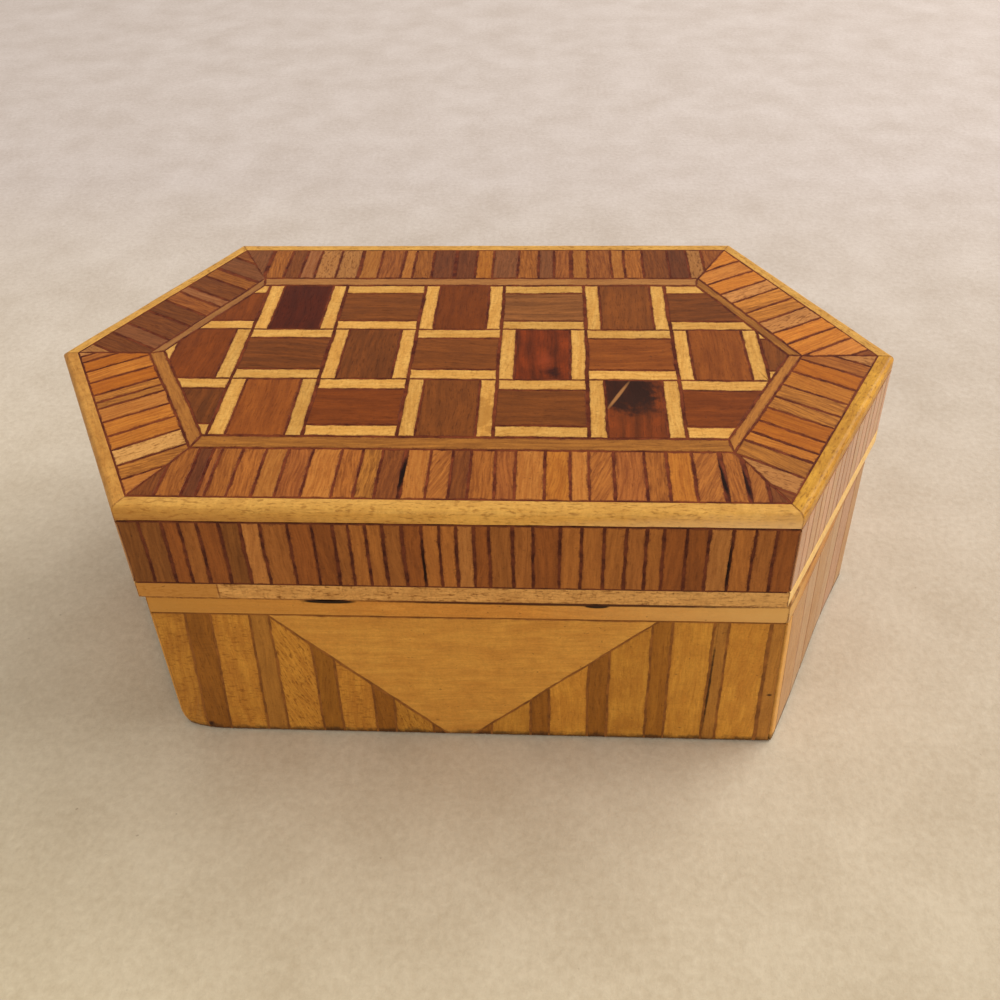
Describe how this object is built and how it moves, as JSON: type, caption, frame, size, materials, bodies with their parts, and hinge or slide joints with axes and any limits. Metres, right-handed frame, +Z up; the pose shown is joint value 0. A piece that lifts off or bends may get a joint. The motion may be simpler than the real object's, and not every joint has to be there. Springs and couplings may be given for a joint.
{
  "type": "inlaid trinket box",
  "caption": "Elongated hexagonal wooden trinket box with a hinged lid, faced all over with strips, staves and a basket-weave panel of contrasting woods.",
  "frame": {"origin": "middle of the underside of the bottom board, on the surface the box stands on", "axes": "+X along the box to the viewer's right, +Y from the front to the hinged back, +Z up"},
  "size_m": [0.152, 0.0829, 0.056],
  "materials": {
    "board_wood": "sanded, thinly varnished",
    "maple": "semi-gloss lacquer",
    "walnut": "semi-gloss lacquer",
    "end_wood": "semi-gloss lacquer",
    "band_wood": "semi-gloss lacquer",
    "edging_maple": "semi-gloss lacquer",
    "cross_band_wood": "semi-gloss lacquer",
    "stringing_wood": "semi-gloss lacquer",
    "weave_dark": "semi-gloss lacquer",
    "weave_light": "semi-gloss lacquer",
    "hinge_brass": "aged, satin",
    "screw_brass": "aged, satin"
  },
  "bodies": {
    "base": {"bottom_board": "board_wood", "base_wall_front": "board_wood", "base_wall_right_front": "board_wood", "base_wall_right_back": "board_wood", "base_wall_back": "board_wood", "base_wall_left_back": "board_wood", "base_wall_left_front": "board_wood", "base_rim_strip_front": "maple", "base_rim_strip_right_front": "maple", "base_rim_strip_right_back": "maple", "base_rim_strip_back": "maple", "base_rim_strip_left_back": "maple", "base_rim_strip_left_front": "maple", "base_light_staves": "maple", "base_dark_staves": "walnut", "base_end_staves": "end_wood", "front_triangle": "maple", "back_triangle": "maple", "base_hinge_leaves": "hinge_brass", "hinge_pins": "hinge_brass", "base_hinge_screws": "screw_brass"},
    "lid": {"lid_board": "board_wood", "lid_wall_front": "board_wood", "lid_wall_right_front": "board_wood", "lid_wall_right_back": "board_wood", "lid_wall_back": "board_wood", "lid_wall_left_back": "board_wood", "lid_wall_left_front": "board_wood", "lid_lip_strip_front": "maple", "lid_lip_strip_right_front": "maple", "lid_lip_strip_right_back": "maple", "lid_lip_strip_back": "maple", "lid_lip_strip_left_back": "maple", "lid_lip_strip_left_front": "maple", "lid_side_band_front": "band_wood", "lid_side_band_right_front": "band_wood", "lid_side_band_right_back": "band_wood", "lid_side_band_back": "band_wood", "lid_side_band_left_back": "band_wood", "lid_side_band_left_front": "band_wood", "lid_edging_front": "edging_maple", "lid_edging_right_front": "edging_maple", "lid_edging_right_back": "edging_maple", "lid_edging_back": "edging_maple", "lid_edging_left_back": "edging_maple", "lid_edging_left_front": "edging_maple", "lid_cross_band_front": "cross_band_wood", "lid_cross_band_right_front": "cross_band_wood", "lid_cross_band_right_back": "cross_band_wood", "lid_cross_band_back": "cross_band_wood", "lid_cross_band_left_back": "cross_band_wood", "lid_cross_band_left_front": "cross_band_wood", "lid_stringing": "stringing_wood", "weave_dark_blocks": "weave_dark", "weave_light_strips": "weave_light", "lid_hinge_leaves": "hinge_brass", "lid_hinge_screws": "screw_brass"}
  },
  "joints": [
    {"name": "lid_hinge", "type": "hinge", "parent": "base", "child": "lid", "pos_m": [0, 0.04035, 0.03605], "axis": [-1, 0, 0], "range_deg": [0, 102]}
  ]
}
